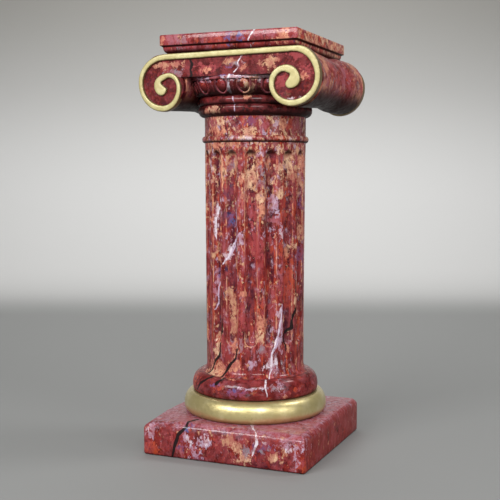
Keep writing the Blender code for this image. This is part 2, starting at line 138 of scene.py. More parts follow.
# Eggs, shells and darts; EGG_SPACING and EGG_TURN, that of the middle egg, are in degrees
EGG_SPACING = 20.0
EGG_TURN = -6.7
EGG_MIDDLE = 15.75
EGG_HALF_WIDE = 8.0
EGG_HALF_TALL = 12.5
EGG_PROUD = 4.8
EGG_TAPER = 0.12
SHELL_HALF = 2.0
SHELL_OUT = 11.0
SHELL_DROP = 1.25
SHELL_LEGS = 12.0
DART_TOP = 2.6
DART_TIP = 0.9
DART_TALL = 21.0

# Fullness of a bolster, 0 at its waist and 1 at its ends, at places along it in millimetres
BOLSTER_STATIONS = [(-115.0, 1.0), (-92.0, 0.88), (-48.0, 0.45), (-10.0, 0.12), (15.0, 0.0),
                    (24.0, 0.06), (35.0, 0.35), (48.0, 0.68), (60.0, 0.90), (86.0, 1.0),
                    (115.0, 1.0)]
BOLSTER_WAIST = 43.5
BOLSTER_SWELL = 5.0
BOLSTER_OUT = 122.8
BOLSTER_WIDE = 0.9
BOLSTER_SIDES = 96

# Turning points of the scroll bands, (outwards, up) from a scroll's centre. The two ends were
# laid by hand and differ: the left one hangs a little lower.
RIGHT_OUTER = [(8.0, 50.3), (48.2, 0.4), (-1.0, -47.6), (-41.2, -8.0), (-11.0, 20.2),
               (13.6, -4.9), (-4.4, -19.2), (-12.6, -9.6)]
RIGHT_NOTCH = (-3.0, 4.2)
RIGHT_INNER = [(-15.0, 8.8), (-31.7, -11.0), (-1.0, -37.0), (38.5, -0.8), (0.0, 40.4)]
LEFT_OUTER = [(-4.0, 46.9), (48.4, 0.2), (1.0, -51.0), (-33.4, -13.0), (-11.4, 14.9),
              (18.2, -5.4), (3.7, -23.6), (-6.4, -11.8)]
LEFT_NOTCH = (6.6, -1.4)
LEFT_INNER = [(-8.8, 6.6), (-25.5, -10.5), (0.2, -40.4), (40.0, -1.4), (-1.0, 36.4)]
ARC_STEPS = 12

# The paper sweep, in metres
SWEEP_LEVEL = -0.0005
SWEEP_START = -2.5
SWEEP_BEND = 2.0
SWEEP_RADIUS = 0.9
SWEEP_TOP = 3.2
SWEEP_HALF_WIDTH = 4.0

# Lights: name, place, what they point at, size, and power in watts
LIGHTS = [
    ("left window", (-0.7, -2.1, 1.4), (0, 0, 0.4), (1.4, 0.55), 37),
    ("right window", (1.0, -1.95, 1.4), (0, 0, 0.4), (1.0, 0.55), 20),
    ("roof window", (1.5, 0.7, 2.1), (0, 0, 0.2), (0.5, 0.5), 14),
    ("side window", (2.4, -0.9, 1.0), (0, 0, 0.4), (0.8, 1.2), 12),
    ("background light", (-0.5, 1.3, 2.4), (-1.15, 2.7, 0.5), (2.4, 0.6), 38),
]
ROOM_LIGHT = 0.32


def srgb(red, green, blue):
    """A colour given as it looks on a screen, 0 to 255, as the shader wants it."""
    def light(value):
        value = value / 255
        return value / 12.92 if value <= 0.04045 else ((value + 0.055) / 1.055) ** 2.4
    return (light(red), light(green), light(blue), 1.0)


# The colours of the marbling, SHADE the dark red of painted shade, and those that are laid on thickly
OXIDE = srgb(134, 36, 32)
BURGUNDY = srgb(78, 14, 16)
ORANGE = srgb(196, 78, 46)
ROSE = srgb(168, 72, 76)
MAUVE = srgb(176, 106, 118)
PEACH = srgb(232, 164, 130)
TAN = srgb(214, 166, 130)
CREAM = srgb(240, 200, 162)
LILAC = srgb(206, 184, 208)
MILK = srgb(238, 226, 236)
GREY = srgb(150, 142, 154)
VIOLET = srgb(104, 76, 122)
BLUE = srgb(70, 96, 156)
NAVY = srgb(44, 44, 78)
PLUM = srgb(64, 18, 36)
SOOT = srgb(22, 14, 16)
SHADE = srgb(34, 8, 8)
THICK_COLOURS = (TAN, PEACH, CREAM, SOOT, NAVY)

# Golds as (ground, dark, pale); the dark is also laid as painted shade
RING_GOLD = (srgb(212, 196, 138), srgb(128, 96, 44), srgb(232, 218, 168))
SCROLL_GOLD = (srgb(184, 172, 118), srgb(98, 70, 36), srgb(212, 204, 156))

# The brushwork in millimetres: how far a dab reaches into a flat piece, how softly a fine
# brush's stroke ends, and how high the paint stands
DAB_DEPTH = 24.0
BRUSH_EDGE = 0.5
RELIEF = 0.2


# Modelling helpers


def deselect():
    bpy.ops.object.select_all(action="DESELECT")


def named(name, paint):
    """Names the object just added and gives it its paint."""
    piece = bpy.context.object
    piece.name = name
    piece.data.name = name
    piece.data.materials.append(paint)
    return piece


def place_in_mesh(piece):
    deselect()
    piece.select_set(True)
    bpy.context.view_layer.objects.active = piece
    bpy.ops.object.transform_apply(location=True, rotation=True, scale=True)


def edit(piece, select="SELECT"):
    deselect()
    piece.select_set(True)
    bpy.context.view_layer.objects.active = piece
    bpy.ops.object.mode_set(mode="EDIT")
    bpy.ops.mesh.select_all(action=select)


def leave_edit():
    bpy.ops.object.mode_set(mode="OBJECT")


def tidy_mesh(piece):
    edit(piece)
    bpy.ops.mesh.remove_doubles(threshold=MERGE_GAP * MM)
    bpy.ops.mesh.normals_make_consistent(inside=False)
    leave_edit()


def shade(piece, degrees=40):
    deselect()
    piece.select_set(True)
    bpy.context.view_layer.objects.active = piece
    bpy.ops.object.shade_smooth_by_angle(angle=math.radians(degrees))


def apply_modifier(piece, kind, **settings):
    bpy.context.view_layer.objects.active = piece
    step = piece.modifiers.new(kind.title(), kind)
    for key, value in settings.items():
        setattr(step, key, value)
    bpy.ops.object.modifier_apply(modifier=step.name)


def raised(name, profile, sides, paint):
    """Raised ring by ring from its foot along a (radius, height) profile in millimetres.

    With four sides the radius is half the width and the piece is square.
    """
    deselect()
    radius, height = profile[0]
    place = (0.0, 0.0, height * MM)
    if sides == 4:
        bpy.ops.mesh.primitive_plane_add(size=2 * radius * MM, location=place)
    else:
        bpy.ops.mesh.primitive_circle_add(vertices=sides, radius=radius * MM,
                                          fill_type="NGON", location=place)
    piece = named(name, paint)
    bpy.ops.object.mode_set(mode="EDIT")
    bpy.ops.mesh.select_all(action="SELECT")
    for wider, higher in profile[1:]:
        lift = (0.0, 0.0, (higher - height) * MM)
        bpy.ops.mesh.extrude_region_move(TRANSFORM_OT_translate={"value": lift})
        share = wider / radius
        bpy.ops.transform.resize(value=(share, share, 1.0))
        radius, height = wider, higher
    leave_edit()
    place_in_mesh(piece)
    tidy_mesh(piece)
    return piece


def arc(centre, size, start, end, steps):
    """Points on an ellipse about centre (across, up), from one angle to another."""
    points = []
    for i in range(steps + 1):
        turn = math.radians(start + (end - start) * i / steps)
        points.append((centre[0] + size[0] * math.cos(turn),
                       centre[1] + size[1] * math.sin(turn)))
    return points


def swelling(radius, reach, foot, top, low, tuck, steps):
    """A moulding fullest low down, from its tucked-in foot up to its top."""
    widest = foot + low
    under = arc((radius + reach - tuck, widest), (tuck, low), -90, 0, steps // 2)
    over = arc((radius, widest), (reach, top - widest), 0, 90, steps)
    return under + over[1:]


def uneven(piece, depth, size):
    """Presses soft hollows and swells of hand finishing into a piece."""
    clouds = bpy.data.textures.new("uneven plaster", "CLOUDS")
    clouds.noise_scale = size * MM
    clouds.noise_depth = 1
    apply_modifier(piece, "DISPLACE", texture=clouds, texture_coords="LOCAL",
                   strength=2 * depth * MM, mid_level=0.5)


def note(piece, name, value, above=-1.0):
    """Leaves a value on a piece's surface for its paint, where it is higher than above."""
    layer = piece.data.attributes.new(name, "FLOAT", "POINT")
    for vertex in piece.data.vertices:
        layer.data[vertex.index].value = value if vertex.co.z > above else 0.0


def copy_of(piece, name, place):
    """A copy with its own mesh, moved by a matrix."""
    twin = piece.copy()
    twin.data = piece.data.copy()
    twin.name = name
    bpy.context.scene.collection.objects.link(twin)
    twin.data.transform(place)
    return twin


def joined(pieces, name):
    deselect()
    for piece in pieces:
        piece.select_set(True)
    bpy.context.view_layer.objects.active = pieces[0]
    bpy.ops.object.join()
    whole = bpy.context.object
    whole.name = name
    whole.data.name = name
    return whole


# Paint


class Coat:
    """Layers of paint on one piece, from the ground coat up."""

    def __init__(self, name, ground, around=None):
        self.material = bpy.data.materials.new(name)
        self.material.use_nodes = True
        self.tree = self.material.node_tree
        self.shader = self.tree.nodes["Principled BSDF"]
        self.colour = ground
        seat = self.add("ShaderNodeTexCoord")
        self.solid_place = seat.outputs["Object"]
        self.facing = seat.outputs["Normal"]
        self.place = self.unrolled(around) if around else self.solid_place

    def add(self, kind, *inputs, **settings):
        """A new shader node with its settings and, in their order, its first inputs."""
        node = self.tree.nodes.new(kind)
        for key, value in settings.items():
            setattr(node, key, value)
        for socket, value in zip(node.inputs, inputs):
            self.feed(socket, value)
        return node

    def feed(self, socket, value):
        if value is None:
            return
        if isinstance(value, bpy.types.NodeSocket):
            self.tree.links.new(value, socket)
        else:
            socket.default_value = value

    def math(self, operation, *values, clamp=False):
        node = self.add("ShaderNodeMath", *values, operation=operation, use_clamp=clamp)
        return node.outputs[0]

    def vector(self, operation, *values):
        node = self.add("ShaderNodeVectorMath", *values, operation=operation)
        return node.outputs["Value" if operation in ("LENGTH", "DOT_PRODUCT", "DISTANCE") else 0]

    def unrolled(self, radius):
        """The surface of a round piece laid flat: across is the arc from the front."""
        parts = self.add("ShaderNodeSeparateXYZ", self.solid_place)
        inward = self.math("MULTIPLY", parts.outputs["Y"], -1.0)
        angle = self.math("ARCTAN2", parts.outputs["X"], inward)
        across = self.math("MULTIPLY", angle, radius * MM)
        return self.add("ShaderNodeCombineXYZ", across, 0.0, parts.outputs["Z"]).outputs[0]

    def clouds(self, size, detail, rough, stretch, shift):
        spread = tuple(1.0 / (size * MM * s) for s in stretch)
        seat = self.vector("MULTIPLY_ADD", self.solid_place, spread, (shift, 2 * shift, 3 * shift))
        return self.add("ShaderNodeTexNoise", seat, None, 1.0, detail, rough)

    def noise(self, size, detail, rough, stretch=(1, 1, 1), shift=0.0):
        """Cloudy noise whose features are about size millimetres, drawn out by stretch."""
        return self.clouds(size, detail, rough, stretch, shift).outputs["Fac"]

    def patches(self, size, low, high, cover=1.0, least=0.0, detail=5, rough=0.7,
                stretch=(1, 1, 1), shift=0.0):
        """Cloudy patches: least where the noise is below low, and cover where above high."""
        return self.ramp(self.noise(size, detail, rough, stretch, shift), low, high, least, cover)

    def hand(self, size, reach, stretch):
        """The place on the surface as an unsteady brush finds it, off by up to reach."""
        shake = self.clouds(size, 5, 0.72, stretch, 77.0).outputs["Color"]
        span = 2 * reach * MM
        off = self.vector("MULTIPLY_ADD", shake, (span, 0.0, span), (-span / 2, 0.0, -span / 2))
        return self.vector("ADD", self.place, off)

    def dabs(self, colour, marks, place, bristles, face, cover):
        """Lays dabs of one colour, each (across, up, half width, half height).

        On a flat piece they lie on the face at that Y, and fade DAB_DEPTH away from it. The
        bristles, a value above and below 0, break their edges up.
        """
        nearest = None
        for across, up, wide, tall in marks:
            deep = 0.0 if face is None else 1 / DAB_DEPTH
            spread = (1 / (wide * MM), deep / MM, 1 / (tall * MM))
            seat = (-across / wide, -(face or 0.0) * deep, -up / tall)
            away = self.vector("LENGTH", self.vector("MULTIPLY_ADD", place, spread, seat))
            nearest = away if nearest is None else self.math("MINIMUM", nearest, away)
        nearest = self.math("ADD", nearest, bristles)
        self.lay(colour, self.ramp(nearest, 0.82, 1.18, cover, 0.0))

    def stroke(self, colour, points, widths, place, cover):
        """Draws a fine brush through points, (across, up) or (x, y, z), in millimetres.

        The widths are the brush's half width at each point.
        """
        seats = [Vector((p[0], 0.0, p[1]) if len(p) == 2 else p) * MM for p in points]
        nearest = None
        for start, end, wide, slim in zip(seats, seats[1:], widths, widths[1:]):
            way = end - start
            along = self.vector("SUBTRACT", place, tuple(start))
            share = self.vector("DOT_PRODUCT", along, tuple(way / way.length_squared))
            share = self.math("ADD", share, 0.0, clamp=True)
            foot = self.vector("MULTIPLY_ADD", share, tuple(way), tuple(start))
            reach = self.vector("DISTANCE", place, foot)
            half = self.math("MULTIPLY_ADD", share, (slim - wide) * MM, wide * MM)
            away = self.math("SUBTRACT", reach, half)
            nearest = away if nearest is None else self.math("MINIMUM", nearest, away)
        edge = BRUSH_EDGE * MM
        self.lay(colour, self.ramp(nearest, -edge, edge, cover, 0.0))

    def height(self, low, high, to_low=0.0, to_high=1.0):
        """A value that changes between two heights in millimetres."""
        up = self.add("ShaderNodeSeparateXYZ", self.solid_place).outputs["Z"]
        return self.ramp(up, low * MM, high * MM, to_low, to_high)

    def carved(self, name):
        """A value from 0 to 1 that the modelling left on the surface."""
        return self.add("ShaderNodeAttribute", attribute_name=name).outputs["Fac"]

    def on_sides(self):
        """1 where the surface looks left or right, 0 where it looks forwards or back."""
        way = self.add("ShaderNodeSeparateXYZ", self.facing).outputs["X"]
        return self.ramp(self.math("ABSOLUTE", way), 0.4, 0.8)

    def paint_shade_on_undersides(self):
        """Painted shade, dark red, wherever the surface looks down."""
        down = self.add("ShaderNodeSeparateXYZ", self.facing).outputs["Z"]
        # Painted shade: SHADE laid over the surfaces that look down.
        self.lay(SHADE, self.ramp(down, -0.75, 0.0, 0.92, 0.0))

    def ramp(self, value, low, high, to_low=0.0, to_high=1.0):
        node = self.add("ShaderNodeMapRange", interpolation_type="SMOOTHSTEP")
        for key, item in (("Value", value), ("From Min", low), ("From Max", high),
                          ("To Min", to_low), ("To Max", to_high)):
            self.feed(node.inputs[key], item)
        return node.outputs["Result"]

    def blend(self, colour, other, share):
        node = self.add("ShaderNodeMix", data_type="RGBA")
        self.feed(node.inputs["Factor"], share)
        self.feed(node.inputs[6], colour)
        self.feed(node.inputs[7], other)
        return node.outputs[2]

    def lay(self, colour, cover, within=None):
        """Lays a colour over what is there, where cover is 1, and only within another cover."""
        if within is not None:
            cover = self.math("MULTIPLY", cover, within)
        self.colour = self.blend(self.colour, colour, cover)

    def finish(self, rough, brush, relief, gloss, coat_rough=0.06, metallic=0.0):
        """Sets the gloss of the varnish and the relief of the brushwork, in millimetres."""
        self.feed(self.shader.inputs["Base Color"], self.colour)
        self.feed(self.shader.inputs["Roughness"], rough)
        self.feed(self.shader.inputs["Metallic"], metallic)
        self.feed(self.shader.inputs["Coat Weight"], gloss)
        self.shader.inputs["Coat Roughness"].default_value = coat_rough
        bump = self.add("ShaderNodeBump", 1.0, relief * MM)
        self.feed(bump.inputs["Height"], brush)
        self.feed(self.shader.inputs["Normal"], bump.outputs["Normal"])
        self.feed(self.shader.inputs["Coat Normal"], bump.outputs["Normal"])
        return self.material


def marbled(name, size, stretch=(1, 1, 1), around=None, shift=0.0, pale=0.0):
    """The marbling that every red piece shares, its dabs about size millimetres.

    A pale above 0 makes the tan and peach dabs larger, and one below 0 makes them smaller.
    """
    coat = Coat(name, OXIDE, around)

    def sponge(colour, scale, rough, seed, low, high, cover):
        coat.lay(colour, coat.patches(size * scale, low, high, cover, rough=rough,
                                      stretch=stretch, shift=shift + seed))

    sponge(BURGUNDY, 2.2, 0.6, 3.1, 0.47, 0.60, 0.85)
    sponge(ROSE, 1.8, 0.6, 12.4, 0.48, 0.62, 0.85)
    sponge(ORANGE, 1.1, 0.65, 7.7, 0.56, 0.66, 0.80)
    sponge(MAUVE, 1.6, 0.7, 33.0, 0.52, 0.66, 0.75)
    sponge(BURGUNDY, 0.7, 0.65, 18.9, 0.56, 0.62, 0.80)
    sponge(GREY, 1.2, 0.65, 30.2, 0.63, 0.68, 0.70)
    sponge(TAN, 1.7, 0.7, 21.9, 0.60 - pale, 0.65 - pale, 0.80)
    sponge(PEACH, 1.2, 0.7, 25.3, 0.62 - pale, 0.67 - pale, 0.80)
    sponge(NAVY, 1.4, 0.6, 41.3, 0.66, 0.69, 0.85)
    sponge(LILAC, 0.8, 0.7, 52.6, 0.66, 0.70, 0.80)
    return coat


def varnish(coat):
    """Lays painted shade on the undersides, then the varnish: glossy in front and on top, duller on the
    sides, and left off the undersides.
    """
    coat.paint_shade_on_undersides()
    brush = coat.noise(7, 4, 0.6, (1, 1, 2), 60.1)
    coat.shader.inputs["Specular IOR Level"].default_value = 0.1
    way = coat.add("ShaderNodeSeparateXYZ", coat.facing).outputs
    open_side = coat.ramp(coat.math("ABSOLUTE", way["X"]), 0.55, 0.95, 0.45, 0.18)
    gloss = coat.math("MULTIPLY", open_side, coat.ramp(way["Z"], -0.6, 0.1))
    return coat.finish(coat.ramp(brush, 0.3, 0.7, 0.4, 0.6), brush, RELIEF, gloss)


def gilding(name, golds, rough, metallic, flat=False):
    """Gold paint with painted shade: dark wherever it looks down, and on a flat band dark on its flanks and
    rounded edges too, partly thin gilding and partly painted shade.
    """
    ground, dark, pale = golds
    coat = Coat(name, ground)
    coat.lay(pale, coat.patches(26, 0.45, 0.70, 0.60, detail=4, rough=0.6, shift=5.0))
    coat.lay(dark, coat.patches(7, 0.58, 0.76, 0.35, shift=9.4))
    way = coat.add("ShaderNodeSeparateXYZ", coat.facing).outputs
    # Painted shade: dark gold wherever the gold looks down.
    coat.lay(dark, coat.ramp(way["Z"], -0.9, -0.1, 0.75, 0.0))
    if flat:
        # Dark gold on the band's flanks and rounded edges: partly thin gilding, partly painted shade.
        front = coat.math("ABSOLUTE", way["Y"])
        coat.lay(dark, coat.ramp(front, 0.5, 0.995, 0.85, 0.0))
    brush = coat.noise(5, 4, 0.6, shift=14.2)
    return coat.finish(coat.ramp(brush, 0.3, 0.7, rough, rough + 0.15), brush, RELIEF, 0.3,
                       0.2, metallic)


# Where the painter's larger dabs and veins lie. On round pieces across is the arc from the
# front, on flat ones the distance right of the middle; all in millimetres.

SHAFT_PAINT_RADIUS = 89.5

SHAFT_DABS = [
    (BURGUNDY, [(-73, 579, 12, 16), (37, 579, 5, 13), (59, 579, 6, 10), (10, 531, 6, 6),
                (29, 504, 6, 6), (59, 483, 5, 10), (31, 455, 7, 10)]),
    (PLUM, [(-1, 579, 14, 13), (66, 524, 9, 7), (67, 495, 5, 8), (-9, 484, 4, 7),
            (108, 474, 5, 13), (74, 446, 3, 8), (107, 449, 4, 9), (107, 400, 5, 22),
            (109, 349, 5, 12), (-11, 306, 6, 10)]),
    (ROSE, [(9, 510, 5, 7), (29, 423, 6, 18), (39, 366, 8, 22), (12, 236, 5, 24),
            (67, 251, 6, 13), (85, 295, 5, 20)]),
    (MAUVE, [(-49, 580, 9, 6), (49, 580, 5, 11), (117, 579, 13, 13), (70, 415, 10, 7),
             (85, 322, 5, 15)]),
    (ORANGE, [(16, 579, 4, 11), (95, 581, 7, 11), (18, 515, 3, 10), (95, 435, 6, 33),
              (83, 360, 4, 20), (96, 331, 7, 22), (45, 262, 6, 13), (102, 304, 8, 30)]),
    (TAN, [(-7, 543, 12, 5), (-8, 527, 7, 4), (-1, 508, 3, 18), (28, 527, 8, 6),
           (101, 522, 8, 8), (110, 491, 8, 10), (135, 479, 10, 10), (15, 452, 6, 6),
           (-51, 351, 8, 6), (0, 337, 3, 8), (144, 386, 12, 13), (-12, 282, 7, 11),
           (-8, 257, 6, 16), (-6, 229, 6, 15), (-40, 206, 7, 9)]),
    (PEACH, [(-45, 589, 8, 4), (-43, 568, 20, 5), (84, 579, 6, 9), (77, 555, 8, 3),
             (-40, 543, 19, 5), (-35, 499, 4, 22), (11, 483, 4, 7), (59, 511, 4, 7),
             (138, 511, 12, 15), (45, 451, 8, 7), (-35, 400, 6, 4), (-36, 388, 7, 4),
             (-71, 412, 10, 5), (-39, 343, 10, 4), (46, 432, 6, 11), (98, 356, 5, 9),
             (-1, 191, 5, 13), (13, 284, 4, 7), (46, 231, 10, 13), (98, 186, 4, 7),
             (-39, 146, 20, 13), (-1, 159, 9, 7)]),
    (CREAM, [(-30, 584, 8, 10), (22, 562, 10, 9), (27, 484, 11, 15), (81, 502, 5, 9),
             (102, 508, 7, 12), (66, 477, 4, 5), (80, 461, 6, 8), (43, 450, 8, 9),
             (115, 366, 10, 5), (-40, 184, 8, 14), (45, 208, 8, 9), (118, 266, 6, 7),
             (-51, 138, 17, 7)]),
    (LILAC, [(-12, 587, 5, 6), (72, 577, 3, 8), (43, 528, 4, 8), (10, 383, 4, 8),
             (69, 440, 6, 11), (74, 427, 4, 6), (78, 392, 9, 7), (65, 158, 9, 9),
             (31, 162, 10, 4), (82, 236, 7, 22), (77, 205, 8, 18), (-47, 300, 4, 16)]),
    (MILK, [(78, 388, 6, 5), (70, 166, 9, 7), (58, 160, 6, 6), (-16, 352, 5, 9), (-48, 420, 3, 16),
            (80, 240, 3, 14), (22, 552, 7, 5)]),
    (GREY, [(-13, 506, 5, 5), (19, 540, 5, 5), (47, 498, 5, 6), (46, 471, 5, 9),
            (125, 322, 4, 17), (10, 195, 5, 8), (46, 187, 6, 8)]),
    (VIOLET, [(25, 584, 6, 7), (133, 437, 9, 11), (140, 352, 13, 16)]),
    (NAVY, [(-15, 462, 7, 10), (-12, 417, 9, 14)]),
    (BLUE, [(-12, 414, 3, 7), (-40, 319, 6, 6)]),
]

SHAFT_VEINS = [
    (MILK, [(-30, 449), (-36, 438), (-46, 429), (-51, 412), (-51, 392), (-50, 375)],
     [0.4, 1.8, 2.6, 1.4, 1.8, 0.4]),
    (LILAC, [(-1, 446), (0, 409), (3, 397), (0, 383), (-6, 369), (-12, 357), (-17, 347), (-26, 335)],
     [0.4, 0.7, 1.0, 1.6, 3.4, 2.6, 2.0, 1.0]),
    (MILK, [(-8, 371), (-13, 360), (-17, 347), (-25, 336)], [1.2, 2.0, 1.0, 1.4]),
    (LILAC, [(-32, 318), (-40, 304), (-47, 293), (-47, 265), (-52, 252)], [1.0, 1.4, 1.2, 1.4, 0.6]),
    (LILAC, [(85, 265), (83, 240), (80, 225), (77, 210), (75, 195), (66, 180), (64, 163)],
     [0.4, 1.4, 2.4, 2.0, 2.0, 1.8, 2.4]),
    (MILK, [(84, 250), (81, 232), (77, 212), (66, 180), (64, 160), (66, 153), (60, 141), (55, 130)],
     [0.4, 0.9, 1.0, 1.0, 3.0, 1.2, 1.0, 0.8]),
    (PEACH, [(-36, 539), (-30, 530), (-26, 516), (-28, 494), (-25, 478), (-28, 464)],
     [0.8, 1.2, 1.7, 1.2, 1.8, 0.6]),
    (SOOT, [(-29, 238), (-29, 215), (-33, 207), (-34, 180), (-36, 172), (-48, 161), (-57, 144), (-68, 128)],
     [1.0, 2.3, 1.5, 1.5, 2.8, 2.3, 1.7, 1.5]),
    (SOOT, [(3, 188), (0, 171), (-12, 158), (-18, 148), (-26, 134)], [1.0, 1.7, 3.0, 2.5, 1.5]),
    (SOOT, [(124, 261), (117, 250), (112, 244), (109, 236), (110, 222), (96, 212), (93, 198), (94, 183)],
     [1.3, 2.8, 3.4, 1.5, 3.4, 1.5, 2.2, 1.0]),
]

TORUS_PAINT_RADIUS = 110.0
TORUS_DABS = [
    (ORANGE, [(-28, 119, 8, 6), (116, 118, 11, 4), (-112, 120, 20, 13)]),
    (PEACH, [(-11, 138, 30, 2), (96, 109, 4, 3)]),
    (GREY, [(78, 123, 20, 3)]),
    (VIOLET, [(10, 115, 11, 7)]),
    # The thin blue dabs round the torus at 122 and 124 mm are a painted reflection.
    (BLUE, [(7, 122, 8, 3), (-34, 124, 8, 2)]),
    (LILAC, [(95, 130, 9, 10), (30, 123, 16, 2)]),
    (SOOT, [(100, 129, 9, 10), (-35, 109, 3, 4)]),
]
TORUS_VEINS = [
    (MILK, [(67, 144), (62, 134), (60, 126), (64, 110)], [0.9, 1.6, 1.2, 0.6]),
    (SOOT, [(-46, 137), (-70, 123), (-82, 107)], [1.8, 2.3, 1.1]),
    (SOOT, [(-15, 140), (-30, 127)], [1.7, 2.8]),
]

PLINTH_DABS = [
    (ORANGE, [(-133, 13, 14, 10), (145, 8, 8, 8)]),
    (BURGUNDY, [(-110, 34, 10, 18), (-43, 38, 9, 16), (-20, 20, 12, 12), (2, 16, 17, 15),
                (80, 25, 18, 15), (40, 3, 14, 5), (128, 24, 8, 13), (-100, 12, 12, 10)]),
    (PLUM, [(72, 9, 19, 10), (8, 30, 7, 8), (100, 12, 10, 9)]),
    (VIOLET, [(-78, 27, 6, 14), (80, 36, 12, 8), (-48, 14, 8, 7)]),
    (LILAC, [(-136, 44, 9, 9), (-64, 30, 8, 16), (-30, 36, 8, 7), (121, 46, 12, 7),
             (139, 44, 7, 9), (137, 20, 4, 9), (-50, 16, 9, 6)]),
    (TAN, [(18, 44, 12, 11), (27, 33, 11, 10), (96, 24, 9, 8), (114, 31, 5, 6)]),
    (CREAM, [(40, 17, 12, 9), (20, 37, 5, 5), (99, 20, 5, 4)]),
    (MILK, [(-60, 34, 4, 9), (-30, 38, 4, 4), (126, 40, 6, 4), (-140, 46, 4, 5), (70, 48, 9, 2)]),
    (SOOT, [(44, 32, 5, 5), (80, 30, 4, 6)]),
    (GREY, [(48, 26, 6, 6), (84, 34, 7, 4)]),
    (BLUE, [(-62, 57, 6, 4)]),
]
PLINTH_VEINS = [
    (SOOT, [(-60, -118, 63), (-68, -136, 63), (-67, -149, 57), (-82, -151, 42), (-88, -151, 23),
            (-93, -151, 2)],
     [2.8, 3.4, 2.3, 3.4, 3.0, 1.7]),
    (MILK, [(42, -115, 63), (54, -138, 63), (64, -149, 57), (66, -151, 43), (57, -151, 22)],
     [2.6, 1.4, 1.6, 2.6, 1.2]),
]

ABACUS_DABS = [
    (MAUVE, [(-98, 718, 17, 10), (69, 723, 18, 7), (-20, 724, 14, 5), (115, 722, 9, 8)]),
    (BURGUNDY, [(60, 713, 24, 4), (-43, 722, 10, 7)]),
    (ORANGE, [(-13, 717, 8, 5)]),
    (PEACH, [(97, 711, 15, 6), (-121, 719, 4, 9), (103, 722, 12, 6)]),
    (GREY, [(-81, 717, 5, 9)]),
    (BLUE, [(1, 722, 7, 7), (25, 722, 6, 6)]),
    (SOOT, [(-58, 713, 6, 5)]),
]
ABACUS_VEINS = [
    (MILK, [(50, -124, 730), (44, -126, 721), (39, -126, 714), (42, -124, 708), (41, -118, 700)],
     [1.8, 1.2, 1.0, 0.9, 0.7]),
]

FACE_DABS = [
    (ROSE, [(97, 646, 10, 7), (120, 685, 15, 6), (143, 659, 6, 12), (-38, 671, 14, 8)]),
    (TAN, [(-118, 677, 13, 6), (-98, 679, 15, 5), (8, 681, 12, 5), (76, 676, 13, 10),
           (88, 680, 8, 5)]),
    (PEACH, [(32, 667, 5, 3), (132, 650, 7, 6), (-38, 668, 7, 4)]),
    (GREY, [(-100, 666, 11, 5), (14, 676, 8, 3)]),
    (NAVY, [(5, 673, 8, 4)]),
    (SOOT, [(-71, 676, 5, 9), (-68, 662, 4, 8)]),
    (BLUE, [(6, 671, 6, 3)]),
    (MILK, [(110, 614, 10, 2)]),
]
FACE_VEINS = [
    (MILK, [(28, -124, 690), (20, -124, 678), (21, -124, 671), (13, -124, 662)], [0.9, 1.1, 0.5, 1.0]),
    (SOOT, [(-69, -124, 686), (-65, -124, 677), (-68, -124, 668), (-66, -124, 660),
            (-74, -124, 645), (-70, -124, 632)],
     [1.0, 3.0, 1.6, 2.8, 3.0, 2.0]),
]

BAND_PAINT_RADIUS = 118.0
BAND_DABS = [
    (PEACH, [(25, 650, 12, 6), (31, 624, 9, 4), (-70, 601, 8, 5)]),
    (CREAM, [(34, 636, 9, 8), (-45, 603, 14, 6), (44, 654, 18, 5)]),
    (LILAC, [(20, 654, 20, 5), (66, 654, 14, 5), (-50, 653, 12, 4)]),
    (MILK, [(10, 654, 12, 5), (34, 654, 7, 4), (58, 654, 10, 4)]),
    (SOOT, [(20, 643, 3, 3), (28, 635, 4, 3)]),
    (BLUE, [(-6, 658, 8, 3)]),
]
BAND_VEINS = [
    (MILK, [(5, 659), (1, 650), (0, 643), (-1, 631)], [1.6, 2.2, 1.4, 3.0]),
    (LILAC, [(1, 623), (4, 612), (4, 600)], [1.3, 0.8, 1.2]),
]


def speckled(coat, stretch=(1, 1, 1)):
    """Small touches of the ground colours over the dabs, and thin rosy glaze."""
    coat.lay(OXIDE, coat.patches(6, 0.53, 0.63, 0.7, stretch=stretch, shift=120.0))
    coat.lay(BURGUNDY, coat.patches(3.5, 0.58, 0.68, 0.65, detail=4, stretch=stretch, shift=127.0))
    coat.lay(ROSE, coat.patches(16, 0.44, 0.62, 0.35, detail=4, rough=0.65, stretch=stretch,
                                shift=133.0))


def painted(coat, dabs, veins, shake, stretch=(1, 1, 1), face=None):
    """Lays the painter's dabs, then the veins with a steadier hand, and varnishes.

    The shake of the hand is (size, reach) in millimetres.
    """
    loose = coat.hand(shake[0], shake[1], stretch)
    steady = coat.hand(14, 3.0, stretch)
    dragged = coat.noise(8, 5, 0.64, stretch, 110.0)
    firm = coat.math("MULTIPLY_ADD", dragged, -5.5, 2.7)
    dry = coat.math("MULTIPLY_ADD", dragged, -8.5, 4.25)
    tone = coat.patches(9, 0.38, 0.60, 0.55, stretch=stretch, shift=115.0)
    broken = coat.patches(7, 0.40, 0.54, 0.95, 0.25, stretch=stretch, shift=117.0)
    for colour, marks in dabs:
        if colour in THICK_COLOURS:
            coat.dabs(coat.blend(colour, ROSE, tone), marks, loose, firm, face, 0.9)
        else:
            coat.dabs(coat.blend(colour, ROSE, tone), marks, loose, dry, face, 0.8)
    speckled(coat, stretch)
    for colour, points, widths in veins:
        coat.stroke(colour, points, widths, steady, 0.97 if colour == SOOT else broken)
    return varnish(coat)


